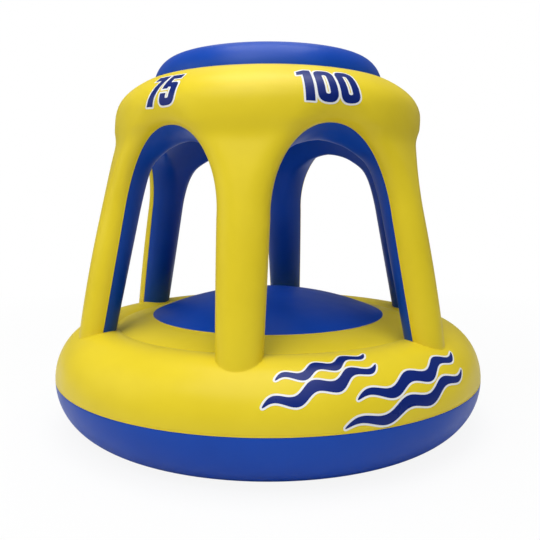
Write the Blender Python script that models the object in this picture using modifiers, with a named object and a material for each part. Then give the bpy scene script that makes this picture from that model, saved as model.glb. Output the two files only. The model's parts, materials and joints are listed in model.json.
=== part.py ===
"""Inflatable pool basketball hoop: a ring base with a domed cushion, a tower on six legs and a soft rim.

Metres, +Z up. The origin is on the floor under the hoop's centre, and one leg faces -Y. Every chamber
is modelled as the vinyl sheets that it is welded from, so the air spaces inside are real.
"""
import math

import bmesh
import bpy
from mathutils import Matrix, Vector
from mathutils.bvhtree import BVHTree

# Sheets and clearances
SHEET = 0.0005
GAP = 0.0003
SEAM_GAP = 0.0005
CORNER_GAP = 0.0009
CUT_OVERRUN = 0.008

# Base ring: an oval tube, flattened where it rests
RING_RADIUS = 0.451
TUBE_HALF_WIDTH = 0.119
TUBE_RISE = 0.1317
TUBE_DROP = 0.1335
REST_HALF_WIDTH = 0.015
CREASE_INSET = 0.0426
FLOOR_WELD_ANGLE = 210.0

# Centre cushion, from the ring's inner crease inwards
FLANK_WIDTH = 0.0916
FLANK_RISE = 0.0232
FLANK_SWELL = 0.0025
CAP_RISE = 0.0652
FLOOR_SAG = 0.030

# Tower: the colour seams lie on a cone that leans in towards the top
LEGS = 6
FRONT_LEGS = (5, 0, 1)
BACK_LEGS = (2, 3, 4)
LEG_OUTSET = 0.0116
LEG_HEIGHT = 0.2858
SEAM_LEAN = 0.193
ARCH_RISE = 0.2087
ARCH_SPRING_ANGLE = 22.0
ARCH_FOOT_ANGLE = 23.8
ARCH_ROUNDNESS = 2.1
ARCH_LIP_WIDTH = 0.040
LIP_BLEND_SHARE = 0.6
OUTER_SWELL_FOOT = 0.046
OUTER_SWELL_LEG = 0.040
OUTER_SWELL_SHOULDER = 0.0375
INNER_SWELL_FOOT = 0.041
INNER_SWELL_TOP = 0.056
SHOULDER_RISE = 0.1313
SHOULDER_INSET = 0.066
SHOULDER_SIDE_HANDLE = 0.095
SHOULDER_TOP_HANDLE = 0.080
SHOULDER_TOP_SLOPE = 12.8
ARCH_BILLOW = 0.009
BILLOW_DROP = 0.050
UNDERSIDE_DROP = 0.095
UNDERSIDE_SIDE_HANDLE = 0.030
UNDERSIDE_MOUTH_HANDLE = 0.110
UNDERSIDE_MOUTH_SLOPE = 36.9
FOOT_GAP = 0.0006
FOOT_LAP = 0.010
PATCH_GAP = 0.0017
PATCH_LOOP_SHARES = (1.0, 0.5)
PATCH_COLUMNS = (0, 2, 3)

# Rim tube, from the shoulder's crease inwards
RIM_INSET = 0.0631
RIM_DROP = 0.0148
RIM_HALF_HEIGHT = 0.0758
MOUTH_ANGLE = 200.0
WINDOW_COUNT = 6
WINDOW_RADIUS = 0.024

# Air valves
FLANGE_RADIUS = 0.017
FLANGE_HEIGHT = 0.0024
FLANGE_EDGE_HEIGHT = 0.0014
SLEEVE_BORE = 0.0080
SLEEVE_RADIUS = 0.0092
SLEEVE_DEPTH = 0.016
HOLE_CLEARANCE = 0.0004
STEM_TRAVEL = 0.012
STEM_BORE = 0.0052
STEM_LENGTH = 0.0325
STEM_LIP_RADIUS = 0.0105
STEM_LIP_THICKNESS = 0.0012
STEM_BEAD_RADIUS = 0.0088
STEM_BEAD_THICKNESS = 0.0012
STEM_CHAMFER = 0.0004
PLUG_CAP_RADIUS = 0.0072
PLUG_CAP_THICKNESS = 0.0018
PLUG_SPIGOT_RADIUS = 0.0048
PLUG_TIP_RADIUS = 0.0035
PLUG_SPIGOT_LENGTH = 0.006
HINGE_OFFSET = 0.0128
HINGE_RADIUS = 0.0009
HINGE_WIDTH = 0.005
STRAP_THICKNESS = 0.0009
TONGUE_END = 0.0150
FLAP_RADIUS = 0.0066
FLAP_THICKNESS = 0.0006
FLAP_HINGE_RADIUS = 0.0005
RING_VALVE_ANGLE = 48.0
TOWER_VALVE_DROP = 0.025
CUSHION_VALVE_INSET = 0.113

# How finely the curves are drawn
SIDES = 36
SMALL_SIDES = 12
FLANGE_SIDES = 16
TOP_STEPS = 7
BOTTOM_STEPS = 4
WALL_STEPS = 3
CAP_STEPS = 3
FLOOR_STEPS = 2
RIM_STEPS = 7
LEG_ROWS = 1
SPINE_ROWS = 4
COLUMNS = 5
CROWN_ROWS = 3
SEAM_SAMPLES = 60
MERGE = 0.00001

YELLOW = (0.86, 0.70, 0.04, 1.0)
BLUE = (0.02, 0.09, 0.36, 1.0)
CLEAR = (0.80, 0.82, 0.80, 1.0)


def clear_scene():
    for thing in list(bpy.data.objects):
        bpy.data.objects.remove(thing, do_unlink=True)


def make_collection(name):
    collection = bpy.data.collections.new(name)
    bpy.context.scene.collection.children.link(collection)
    return collection


def make_material(name, colour, roughness):
    material = bpy.data.materials.new(name)
    material.use_nodes = True
    shader = material.node_tree.nodes["Principled BSDF"]
    shader.inputs["Base Color"].default_value = colour
    shader.inputs["Roughness"].default_value = roughness
    shader.inputs["Metallic"].default_value = 0.0
    return material


def add_object(name, mesh, material, collection, parent=None, frame=None):
    thing = bpy.data.objects.new(name, mesh)
    collection.objects.link(thing)
    if material:
        mesh.materials.append(material)
    if parent:
        thing.parent = parent
    if frame:
        thing.matrix_local = frame
    return thing


def shade(mesh):
    mesh.shade_smooth()
    mesh.set_sharp_from_angle(angle=math.radians(40))


def mesh_from(name, points, faces=(), edges=()):
    mesh = bpy.data.meshes.new(name)
    mesh.from_pydata([tuple(point) for point in points], list(edges), list(faces))
    mesh.update()
    return mesh


def turned(name, profile, material, collection, sides=SIDES, parent=None, frame=None):
    """Turn a profile of (radius, height) points round the Z axis."""
    points = [(radius, 0.0, height) for radius, height in profile]
    edges = [(i, i + 1) for i in range(len(points) - 1)]
    thing = add_object(name, mesh_from(name, points, edges=edges), material, collection, parent, frame)
    screw = thing.modifiers.new("turn", "SCREW")
    screw.axis = "Z"
    screw.angle = math.tau
    screw.steps = sides
    screw.render_steps = sides
    screw.use_merge_vertices = True
    screw.merge_threshold = MERGE
    screw.use_smooth_shade = True
    return thing


def thicken(thing, thickness=SHEET, offset=-1.0):
    shell = thing.modifiers.new("sheet", "SOLIDIFY")
    shell.thickness = thickness
    shell.offset = offset
    shell.use_even_offset = True
    shell.use_rim = True


def cut(thing, cutter, operation="DIFFERENCE"):
    boolean = thing.modifiers.new(cutter.name, "BOOLEAN")
    boolean.operation = operation
    boolean.object = cutter
    cutter.hide_render = True
    cutter.display_type = "WIRE"


def step_towards(start, end, distance):
    """The point at a distance from start on the way to end."""
    return start + (end - start).normalized() * distance


def bezier(start, first, second, end, t):
    u = 1.0 - t
    return start * u**3 + first * (3 * u * u * t) + second * (3 * u * t * t) + end * t**3


def slope_vector(angle):
    return Vector((math.cos(math.radians(angle)), math.sin(math.radians(angle))))


# Base ring and cushion


def ring_point(angle):
    """A point of the ring tube's section; 0 degrees is its outer side and 90 its crest."""
    rise = TUBE_RISE if math.sin(math.radians(angle)) > 0 else TUBE_DROP
    return Vector((RING_RADIUS + TUBE_HALF_WIDTH * math.cos(math.radians(angle)),
                   TUBE_DROP + rise * math.sin(math.radians(angle))))


def ring_top(angle, radius):
    """The ring's height at a place, given as an angle from a leg and a radius, on its flat sides."""
    pitch = math.tau / SIDES
    off_centre = math.radians(angle) % pitch - pitch / 2
    corner_radius = radius * math.cos(off_centre) / math.cos(pitch / 2)
    share = (corner_radius - RING_RADIUS) / TUBE_HALF_WIDTH
    return TUBE_DROP + TUBE_RISE * math.sqrt(max(1.0 - share * share, 0.0))


def crease_angle():
    return 180.0 - math.degrees(math.acos(CREASE_INSET / TUBE_HALF_WIDTH))


def arc_points(first_angle, last_angle, steps):
    return [ring_point(first_angle + (last_angle - first_angle) * i / steps) for i in range(steps + 1)]


def base_top_profile():
    points = arc_points(crease_angle(), 0.0, TOP_STEPS)
    points[-1] = points[-1] + Vector((0.0, SEAM_GAP / 2))
    return points


def base_bottom_profile():
    """From the outer seam down to the flat that rests on the floor, and up to the floor's weld."""
    rest_outer = Vector((RING_RADIUS + REST_HALF_WIDTH, 0.0))
    rest_inner = Vector((RING_RADIUS - REST_HALF_WIDTH, 0.0))
    rest_angle = math.degrees(math.asin(REST_HALF_WIDTH / TUBE_HALF_WIDTH))
    outer = arc_points(360.0, 270.0 + rest_angle, BOTTOM_STEPS)[:-1]
    inner = arc_points(270.0 - rest_angle, FLOOR_WELD_ANGLE, BOTTOM_STEPS - 1)[1:]
    outer[0] = outer[0] - Vector((0.0, SEAM_GAP / 2))
    inner[-1] = step_towards(inner[-1], inner[-2], GAP)
    return outer + [rest_outer, rest_inner] + inner


def base_wall_profile():
    points = arc_points(FLOOR_WELD_ANGLE, crease_angle(), WALL_STEPS)
    points[-1] = step_towards(points[-1], points[-2], GAP)
    return points


def cap_edge():
    return ring_point(crease_angle()) + Vector((-FLANK_WIDTH, FLANK_RISE))


def flank_profile():
    inner = cap_edge() + Vector((GAP / 2, 0.0))
    outer = step_towards(ring_point(crease_angle()), inner, CORNER_GAP)
    middle = (inner + outer) / 2 + Vector((0.0, FLANK_SWELL))
    return [inner, middle, outer]


def cap_profile():
    edge = cap_edge()
    sphere = (edge.x**2 + CAP_RISE**2) / (2 * CAP_RISE)
    edge_angle = math.asin(edge.x / sphere)
    points = []
    for i in range(CAP_STEPS + 1):
        angle = edge_angle * i / CAP_STEPS
        points.append(Vector((sphere * math.sin(angle),
                              edge.y + CAP_RISE - sphere * (1.0 - math.cos(angle)))))
    points[-1] = points[-1] - Vector((GAP / 2, 0.0))
    return points


def floor_profile():
    weld = ring_point(FLOOR_WELD_ANGLE)
    edge_radius = weld.x - CORNER_GAP
    points = []
    for i in range(FLOOR_STEPS + 1):
        share = 1.0 - i / FLOOR_STEPS
        points.append(Vector((edge_radius * share, weld.y - FLOOR_SAG * (1.0 - share * share))))
    return points


# Tower: each sheet stands off the seam cone by its swell, rounded down to nothing at the arches


def foot_height():
    return TUBE_DROP + TUBE_RISE


def spring_height():
    return foot_height() + LEG_HEIGHT


def arch_top_height():
    return spring_height() + ARCH_RISE


def seam_radius(height):
    return RING_RADIUS + LEG_OUTSET - SEAM_LEAN * (height - foot_height())


def leg_arch_angle(height):
    """Half the arch's width on the legs, below its springing."""
    share = (spring_height() - height) / LEG_HEIGHT
    return ARCH_SPRING_ANGLE + (ARCH_FOOT_ANGLE - ARCH_SPRING_ANGLE) * share


def half_bay():
    return 180.0 / LEGS


def arch_top():
    return Vector((seam_radius(arch_top_height()), arch_top_height()))


def shoulder_crease():
    return arch_top() + Vector((-SHOULDER_INSET, SHOULDER_RISE))


def rim_centre():
    return shoulder_crease() - Vector((RIM_INSET, RIM_DROP))


def rim_point(angle):
    half_width = RIM_INSET / math.sqrt(1.0 - (RIM_DROP / RIM_HALF_HEIGHT) ** 2)
    return rim_centre() + Vector((half_width * math.cos(math.radians(angle)),
                                  RIM_HALF_HEIGHT * math.sin(math.radians(angle))))


def mouth_crease():
    return rim_point(MOUTH_ANGLE)


class OuterSheet:
    """The yellow sheet, as stations along its section from the foot up to the shoulder's crease."""
    faces_out = True

    @staticmethod
    def end():
        return shoulder_crease().y

    @staticmethod
    def middle(station):
        return Vector((seam_radius(station), station))

    @classmethod
    def full(cls, station):
        top = arch_top_height()
        if station <= top:
            share = (station - foot_height()) / (top - foot_height())
            swell = (OUTER_SWELL_FOOT * (1.0 - share) ** 2 + OUTER_SWELL_SHOULDER * share**2
                     + OUTER_SWELL_LEG * 2 * share * (1.0 - share))
            return Vector((seam_radius(station) + swell, station))
        start = cls.full(top)
        up = (start - cls.full(spring_height())).normalized()
        first = start + up * SHOULDER_SIDE_HANDLE
        second = shoulder_crease() + slope_vector(-SHOULDER_TOP_SLOPE) * SHOULDER_TOP_HANDLE
        return bezier(start, first, second, shoulder_crease(), (station - top) / (cls.end() - top))


class InnerSheet:
    """The blue sheet, as stations along its section from the foot up and in to the hoop's mouth."""
    faces_out = False

    @staticmethod
    def end():
        return arch_top_height() + (arch_top() - mouth_crease()).length

    @staticmethod
    def middle(station):
        if station <= arch_top_height():
            return Vector((seam_radius(station), station))
        return step_towards(arch_top(), mouth_crease(), station - arch_top_height())

    @classmethod
    def full(cls, station):
        low = arch_top_height() - UNDERSIDE_DROP
        if station <= low:
            share = (station - foot_height()) / (low - foot_height())
            swell = INNER_SWELL_FOOT + (INNER_SWELL_TOP - INNER_SWELL_FOOT) * share
            return Vector((seam_radius(station) - swell, station))
        start = cls.full(low)
        up = (start - cls.full(spring_height())).normalized()
        first = start + up * UNDERSIDE_SIDE_HANDLE
        second = mouth_crease() + slope_vector(-UNDERSIDE_MOUTH_SLOPE) * UNDERSIDE_MOUTH_HANDLE
        return bezier(start, first, second, mouth_crease(), (station - low) / (cls.end() - low))


def crown_start():
    """The station above the arches from which a sheet is plainly round."""
    return arch_top_height() + ARCH_LIP_WIDTH


def crown_columns():
    return SIDES // (2 * LEGS)


def seam_line():
    """Where the two sheets meet, as (angle from the leg, height), from the foot to the arch's top."""
    line = []
    for i in range(LEG_ROWS):
        height = foot_height() + LEG_HEIGHT * i / LEG_ROWS
        line.append((half_bay() - leg_arch_angle(height), height))
    rows = SPINE_ROWS + crown_columns()
    for i in range(rows + 1):
        line.append(arch_point(i / rows))
    return line


def arch_point(share):
    """A point of the arch's curve, from its springing (0) to its top (1)."""
    turn = share * math.pi / 2
    rise = math.sin(turn) ** (2.0 / ARCH_ROUNDNESS)
    height = spring_height() + ARCH_RISE * rise
    angle = ARCH_SPRING_ANGLE * max(math.cos(turn), 0.0) ** (2.0 / ARCH_ROUNDNESS)
    return half_bay() - angle, height


def flat_place(angle, station, sheet):
    """Where a point lies when the sheet is laid out flat."""
    return Vector((sheet.middle(station).x * math.radians(angle), station))


def seam_samples(sheet):
    """Places along the seam, each with the distance from it at which the sheet reaches its full swell."""
    samples = []
    for i in range(SEAM_SAMPLES):
        height = foot_height() + LEG_HEIGHT * i / SEAM_SAMPLES
        angle = half_bay() - leg_arch_angle(height)
        samples.append((flat_place(angle, height, sheet), sheet.middle(height).x * math.radians(angle)))
    leg_half_width = flat_place(half_bay() - ARCH_SPRING_ANGLE, spring_height(), sheet).x
    for i in range(SEAM_SAMPLES + 1):
        share = i / SEAM_SAMPLES
        lip = leg_half_width + (ARCH_LIP_WIDTH - leg_half_width) * min(share / LIP_BLEND_SHARE, 1.0)
        samples.append((flat_place(*arch_point(share), sheet), lip))
    return samples


def swell_share(spot, samples):
    """How far a place of the sheet stands off the seam cone, from 0 at the seam to 1."""
    distance, lip = min(((spot - seam).length, lip) for seam, lip in samples)
    share = min(distance / lip, 1.0)
    return math.sqrt(1.0 - (1.0 - share) ** 2)


def far_end(row):
    """The end of a row away from the seam: on the leg's centre line, or where the crown starts."""
    if row <= LEG_ROWS:
        return 0.0, seam_line()[row][1]
    above = row - LEG_ROWS
    if above <= SPINE_ROWS:
        return 0.0, spring_height() + (crown_start() - spring_height()) * above / SPINE_ROWS
    return half_bay() * (above - SPINE_ROWS) / crown_columns(), crown_start()


def full_point(sheet, angle, station):
    """The sheet's place clear of the seams; the yellow one billows out above each arch."""
    point = sheet.full(station)
    start = arch_top_height() - BILLOW_DROP
    share = (station - start) / (sheet.end() - start)
    if sheet.faces_out and share > 0.0:
        point.x += (ARCH_BILLOW * math.sin(math.pi * share) ** 2
                    * math.sin(math.pi / 2 * angle / half_bay()) ** 2)
    return point


def sheet_point(sheet, angle, station, rounding):
    middle = sheet.middle(station)
    full = full_point(sheet, angle, station)
    if rounding <= 0.0:
        return step_towards(middle, full, SEAM_GAP / 2)
    return middle + (full - middle) * rounding


def foot_station(sheet, angle, rounding):
    """The height at which a line down the leg meets the ring."""
    height = foot_height()
    for _ in range(12):
        height = ring_top(angle, sheet_point(sheet, angle, height, rounding).x) + FOOT_GAP
    return height


def sheet_rows(sheet):
    """Rows of (angle from the leg, radius, height), each from the seam to its far end."""
    samples = seam_samples(sheet)
    rows = []
    for row, (seam_angle, seam_height) in enumerate(seam_line()):
        end_angle, end_station = far_end(row)
        line = []
        for column in range(COLUMNS + 1):
            share = 1.0 - math.cos(math.pi / 2 * column / COLUMNS)
            angle = seam_angle + (end_angle - seam_angle) * share
            station = seam_height + (end_station - seam_height) * share
            rounding = swell_share(flat_place(angle, station, sheet), samples) if column else 0.0
            if row == 0:
                station = foot_station(sheet, angle, rounding)
            point = sheet_point(sheet, angle, station, rounding)
            line.append((angle, point.x, point.y))
        rows.append(line)
    return rows


def crown_rows(sheet):
    """Level rows of (angle, radius, height), from the last row's far end up to the crease."""
    rows = []
    for row in range(CROWN_ROWS + 1):
        station = crown_start() + (sheet.end() - crown_start()) * row / CROWN_ROWS
        angles = [half_bay() * i / crown_columns() for i in range(crown_columns() + 1)]
        rows.append([(angle, *full_point(sheet, angle, station)) for angle in angles])
    return rows


def leg_azimuth(leg):
    return -90.0 + 360.0 * leg / LEGS


def place(azimuth, radius, height):
    turn = math.radians(azimuth)
    return Vector((radius * math.cos(turn), radius * math.sin(turn), height))


def tower_panel(name, sheet, legs, material, collection, parent):
    """The front or the back half of a sheet, which are welded together above the two side arches."""
    patches = (sheet_rows(sheet), crown_rows(sheet))
    mesh = bmesh.new()
    for leg in legs:
        for hand in (-1.0, 1.0):
            for rows in patches:
                grid = [[mesh.verts.new(place(leg_azimuth(leg) + hand * angle, radius, height))
                         for angle, radius, height in line] for line in rows]
                for lower, upper in zip(grid, grid[1:]):
                    for i in range(len(lower) - 1):
                        mesh.faces.new((lower[i], lower[i + 1], upper[i + 1], upper[i]))
    front = math.copysign(1.0, sum(vert.co.y for vert in mesh.verts))
    for vert in mesh.verts:
        if abs(vert.co.y) < MERGE:
            vert.co.y = front * GAP / 2
    return finish_sheet(name, mesh, sheet.faces_out, material, collection, parent)


def finish_sheet(name, mesh, faces_out, material, collection, parent):
    """Join the patches of a sheet and turn its faces away from the axis, or to it."""
    bmesh.ops.remove_doubles(mesh, verts=mesh.verts, dist=MERGE)
    bmesh.ops.recalc_face_normals(mesh, faces=mesh.faces)
    facing = 0.0
    for face in mesh.faces:
        centre = face.calc_center_median()
        facing += face.normal.dot(Vector((centre.x, centre.y, 0.0))) * face.calc_area()
    if (facing > 0.0) != faces_out:
        bmesh.ops.reverse_faces(mesh, faces=mesh.faces)
    data = bpy.data.meshes.new(name)
    mesh.to_mesh(data)
    mesh.free()
    shade(data)
    return add_object(name, data, material, collection, parent)


def leg_outline(lift, inset):
    """The leg's section a little above the ring as (angle, radius, height), drawn in by an inset share."""
    outline = []
    centre = seam_radius(foot_height())
    for sheet in (OuterSheet, InnerSheet):
        foot, above = sheet_rows(sheet)[:2]
        section = []
        for low, high in zip(foot, above):
            share = lift / (high[2] - low[2])
            section.append(tuple(start + (end - start) * share for start, end in zip(low, high)))
        forward = [(hand * angle, radius) for hand, order in ((-1, section), (1, section[-2::-1]))
                   for angle, radius, _ in order]
        if sheet is InnerSheet:
            forward = forward[::-1]
        outline += [(angle * inset, centre + (radius - centre) * inset) for angle, radius in forward[:-1]]
    kept = [spot for i, spot in enumerate(outline) if i % COLUMNS in PATCH_COLUMNS]
    return [(angle, radius, ring_top(angle, radius) + PATCH_GAP + lift) for angle, radius in kept]


def foot_patch(name, leg, material, collection, parent):
    """The dished disc, with a turned-up hem, that closes one leg on the ring."""
    clear = 1.0 - (SHEET + PATCH_GAP) / INNER_SWELL_FOOT
    loops = [leg_outline(FOOT_LAP, clear)]
    loops += [leg_outline(0.0, clear * share) for share in PATCH_LOOP_SHARES]
    middle = seam_radius(foot_height())
    mesh = bmesh.new()
    rings = [[mesh.verts.new(place(leg_azimuth(leg) + angle, radius, height))
              for angle, radius, height in loop] for loop in loops]
    centre = mesh.verts.new(place(leg_azimuth(leg), middle, ring_top(0.0, middle) + PATCH_GAP))
    count = len(rings[0])
    for i in range(count):
        k = (i + 1) % count
        for upper, lower in zip(rings, rings[1:]):
            mesh.faces.new((upper[i], upper[k], lower[k], lower[i]))
        mesh.faces.new((rings[-1][i], rings[-1][k], centre))
    bmesh.ops.recalc_face_normals(mesh, faces=mesh.faces)
    if centre.link_faces[0].normal.z > 0.0:
        bmesh.ops.reverse_faces(mesh, faces=mesh.faces)
    data = bpy.data.meshes.new(name)
    mesh.to_mesh(data)
    mesh.free()
    shade(data)
    patch = add_object(name, data, material, collection, parent)
    thicken(patch)
    return patch


def rim_profile():
    first = math.degrees(math.asin(RIM_DROP / RIM_HALF_HEIGHT))
    points = [rim_point(MOUTH_ANGLE + (first - MOUTH_ANGLE) * i / RIM_STEPS) for i in range(RIM_STEPS + 1)]
    points[0] = step_towards(points[0], points[1], SHEET + GAP)
    points[-1] = step_towards(points[-1], points[-2], GAP)
    return points


def rim_baffle(material, collection, cutters, parent):
    """The web across the tube under the rim, with windows that let the air past."""
    outer = shoulder_crease() - Vector((SHEET, SHEET))
    inner = mouth_crease() + Vector((CORNER_GAP, CORNER_GAP))
    web = turned("rim_baffle", [inner, outer], material, collection, parent=parent)
    thicken(web, offset=0.0)
    mesh = bmesh.new()
    for i in range(WINDOW_COUNT):
        spot = Matrix.Translation(place(360.0 * (i + 0.5) / WINDOW_COUNT, *((outer + inner) / 2)))
        bmesh.ops.create_cone(mesh, cap_ends=True, segments=SMALL_SIDES, radius1=WINDOW_RADIUS,
                              radius2=WINDOW_RADIUS, depth=RIM_HALF_HEIGHT, matrix=spot)
    data = bpy.data.meshes.new("rim_baffle_windows")
    mesh.to_mesh(data)
    mesh.free()
    cut(web, add_object("rim_baffle_windows", data, None, cutters))
    return web


# Air valves


def surface_frame(thing, origin, target):
    """A frame on the surface of a sheet: Z points out of it and X runs level."""
    bpy.context.view_layer.update()
    tree = BVHTree.FromObject(thing, bpy.context.evaluated_depsgraph_get())
    spot, normal, _, _ = tree.ray_cast(origin, (target - origin).normalized())
    across = Vector((-origin.y, origin.x, 0.0)).normalized()
    across = (across - normal * across.dot(normal)).normalized()
    along = normal.cross(across)
    frame = Matrix((across, along, normal)).transposed().to_4x4()
    frame.translation = spot
    return frame


def local_skin(name, thing, frame, cutters):
    """The part of a sheet round a valve, thickened on both sides, to cut the valve's flange to it."""
    copy = bpy.data.meshes.new_from_object(thing.evaluated_get(bpy.context.evaluated_depsgraph_get()))
    mesh = bmesh.new()
    mesh.from_mesh(copy)
    bpy.data.meshes.remove(copy)
    near = BVHTree.FromBMesh(mesh).find_nearest_range(frame.translation, 2 * FLANGE_RADIUS)
    kept = {index for _, _, index, _ in near}
    far = [face for face in mesh.faces if face.index not in kept]
    bmesh.ops.delete(mesh, geom=far, context="FACES")
    data = bpy.data.meshes.new(name)
    mesh.to_mesh(data)
    mesh.free()
    skin = add_object(name, data, None, cutters)
    thickness = GAP + CUT_OVERRUN
    thicken(skin, thickness, 2 * GAP / thickness - 1.0)
    return skin


def drill(name, radius, frame, cutters):
    """A cylinder that cuts a round hole square through a sheet."""
    mesh = bmesh.new()
    bmesh.ops.create_cone(mesh, cap_ends=True, segments=SMALL_SIDES, radius1=radius, radius2=radius,
                          depth=4 * CUT_OVERRUN)
    data = bpy.data.meshes.new(name)
    mesh.to_mesh(data)
    mesh.free()
    return add_object(name, data, None, cutters, frame=frame)


def block(name, low, high, frame, cutters):
    """A box between two corners, used to add a strap or a tongue to a turned piece."""
    mesh = bmesh.new()
    bmesh.ops.create_cube(mesh, size=1.0)
    low, high = Vector(low), Vector(high)
    bmesh.ops.scale(mesh, vec=high - low, verts=mesh.verts)
    bmesh.ops.translate(mesh, vec=(low + high) / 2, verts=mesh.verts)
    data = bpy.data.meshes.new(name)
    mesh.to_mesh(data)
    mesh.free()
    return add_object(name, data, None, cutters, frame=frame)


def knuckle(name, radius, centre, frame, cutters):
    """The round of a moulded hinge, lying along the frame's Y axis."""
    mesh = bmesh.new()
    turn = Matrix.Translation(centre) @ Matrix.Rotation(math.pi / 2, 4, "X")
    bmesh.ops.create_cone(mesh, cap_ends=True, segments=SMALL_SIDES, radius1=radius, radius2=radius,
                          depth=HINGE_WIDTH, matrix=turn)
    data = bpy.data.meshes.new(name)
    mesh.to_mesh(data)
    mesh.free()
    return add_object(name, data, None, cutters, frame=frame)


def valve_seat(prefix, frame, skin, material, collection, cutters, parent):
    flange = [(SLEEVE_BORE, -SLEEVE_DEPTH), (SLEEVE_BORE, FLANGE_HEIGHT),
              (FLANGE_RADIUS - FLANGE_HEIGHT, FLANGE_HEIGHT), (FLANGE_RADIUS, FLANGE_EDGE_HEIGHT),
              (FLANGE_RADIUS, -FLANGE_HEIGHT), (SLEEVE_RADIUS, -FLANGE_HEIGHT),
              (SLEEVE_RADIUS, -SLEEVE_DEPTH), (SLEEVE_BORE, -SLEEVE_DEPTH)]
    seat = turned(prefix + "_seat", flange, material, collection, FLANGE_SIDES, parent, frame)
    cut(skin, drill(prefix + "_skin_hole", SLEEVE_RADIUS + HOLE_CLEARANCE / 2, frame, cutters))
    cut(seat, skin)
    return seat


def lip_bottom():
    return FLANGE_HEIGHT + GAP


def lip_top():
    return lip_bottom() + STEM_LIP_THICKNESS


def valve_stem(prefix, frame, material, collection, cutters, parent):
    barrel = SLEEVE_BORE - GAP
    bottom = lip_bottom() - STEM_LENGTH
    profile = [(STEM_BORE, bottom), (STEM_BORE, lip_top() - STEM_CHAMFER),
               (STEM_BORE + STEM_CHAMFER, lip_top()), (STEM_LIP_RADIUS - STEM_CHAMFER, lip_top()),
               (STEM_LIP_RADIUS, lip_top() - STEM_CHAMFER), (STEM_LIP_RADIUS, lip_bottom()),
               (barrel, lip_bottom()), (barrel, bottom + STEM_BEAD_THICKNESS),
               (STEM_BEAD_RADIUS, bottom + STEM_BEAD_THICKNESS), (STEM_BEAD_RADIUS, bottom),
               (STEM_BORE, bottom)]
    stem = turned(prefix + "_stem", profile, material, collection, SMALL_SIDES, parent, frame)
    top = hinge_height() - HINGE_RADIUS - GAP
    cut(stem, block(prefix + "_tongue", (-TONGUE_END, -HINGE_WIDTH / 2, lip_bottom()),
                    (-(STEM_LIP_RADIUS + STEM_BORE) / 2, HINGE_WIDTH / 2, top), frame, cutters), "UNION")
    return stem


def hinge_height():
    return lip_top() + GAP + HINGE_RADIUS


def valve_plug(prefix, frame, material, collection, cutters, parent):
    under = lip_top() + GAP
    profile = [(0.0, under + PLUG_CAP_THICKNESS), (PLUG_CAP_RADIUS, under + PLUG_CAP_THICKNESS),
               (PLUG_CAP_RADIUS, under), (PLUG_SPIGOT_RADIUS, under),
               (PLUG_TIP_RADIUS, under - PLUG_SPIGOT_LENGTH), (0.0, under - PLUG_SPIGOT_LENGTH)]
    hinge = Vector((-HINGE_OFFSET, 0.0, hinge_height()))
    axis = frame @ Matrix.Translation(hinge)
    plug = turned(prefix + "_plug", profile, material, collection, SMALL_SIDES, parent, axis)
    plug.data.transform(Matrix.Translation(-hinge))
    plug.modifiers["turn"].object = add_centre(prefix + "_plug_centre", frame, cutters)
    strap = block(prefix + "_strap", (-HINGE_OFFSET, -HINGE_WIDTH / 2, hinge_height() - STRAP_THICKNESS / 2),
                  (-PLUG_SPIGOT_RADIUS, HINGE_WIDTH / 2, hinge_height() + STRAP_THICKNESS / 2), frame, cutters)
    cut(plug, strap, "UNION")
    cut(plug, knuckle(prefix + "_knuckle", HINGE_RADIUS, hinge, frame, cutters), "UNION")
    return plug


def add_centre(name, frame, collection):
    """An empty on a piece's axis, for a turned piece whose own origin is on its hinge."""
    centre = bpy.data.objects.new(name, None)
    collection.objects.link(centre)
    centre.matrix_world = frame
    return centre


def valve_flap(prefix, frame, material, collection, cutters, parent):
    hinge = Vector((FLAP_RADIUS, 0.0, lip_bottom() - STEM_LENGTH - GAP - FLAP_HINGE_RADIUS))
    axis = frame @ Matrix.Translation(hinge)
    top = hinge.z + FLAP_THICKNESS / 2
    profile = [(0.0, top), (FLAP_RADIUS, top), (FLAP_RADIUS, top - FLAP_THICKNESS), (0.0, top - FLAP_THICKNESS)]
    flap = turned(prefix + "_flap", profile, material, collection, SMALL_SIDES, parent, axis)
    flap.data.transform(Matrix.Translation(-hinge))
    flap.modifiers["turn"].object = add_centre(prefix + "_flap_centre", frame, cutters)
    cut(flap, knuckle(prefix + "_flap_knuckle", FLAP_HINGE_RADIUS, hinge, frame, cutters), "UNION")
    return flap


def add_valve(prefix, sheet, frame, material, collection, cutters, parent):
    """Seat, stem, plug and flap on one sheet, which is thickened and drilled here."""
    skin = local_skin(prefix + "_skin", sheet, frame, cutters)
    thicken(sheet)
    cut(sheet, drill(prefix + "_hole", SLEEVE_RADIUS + HOLE_CLEARANCE, frame, cutters))
    valve_seat(prefix, frame, skin, material, collection, cutters, parent)
    valve_stem(prefix, frame, material, collection, cutters, parent)
    valve_plug(prefix, frame, material, collection, cutters, parent)
    valve_flap(prefix, frame, material, collection, cutters, parent)


def facet_direction(facet):
    """The level direction of the middle of one of the flat sides, counted on from the back leg."""
    turn = math.radians(90.0 + 360.0 * (facet + 0.5) / SIDES)
    return Vector((math.cos(turn), math.sin(turn), 0.0))


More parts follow.
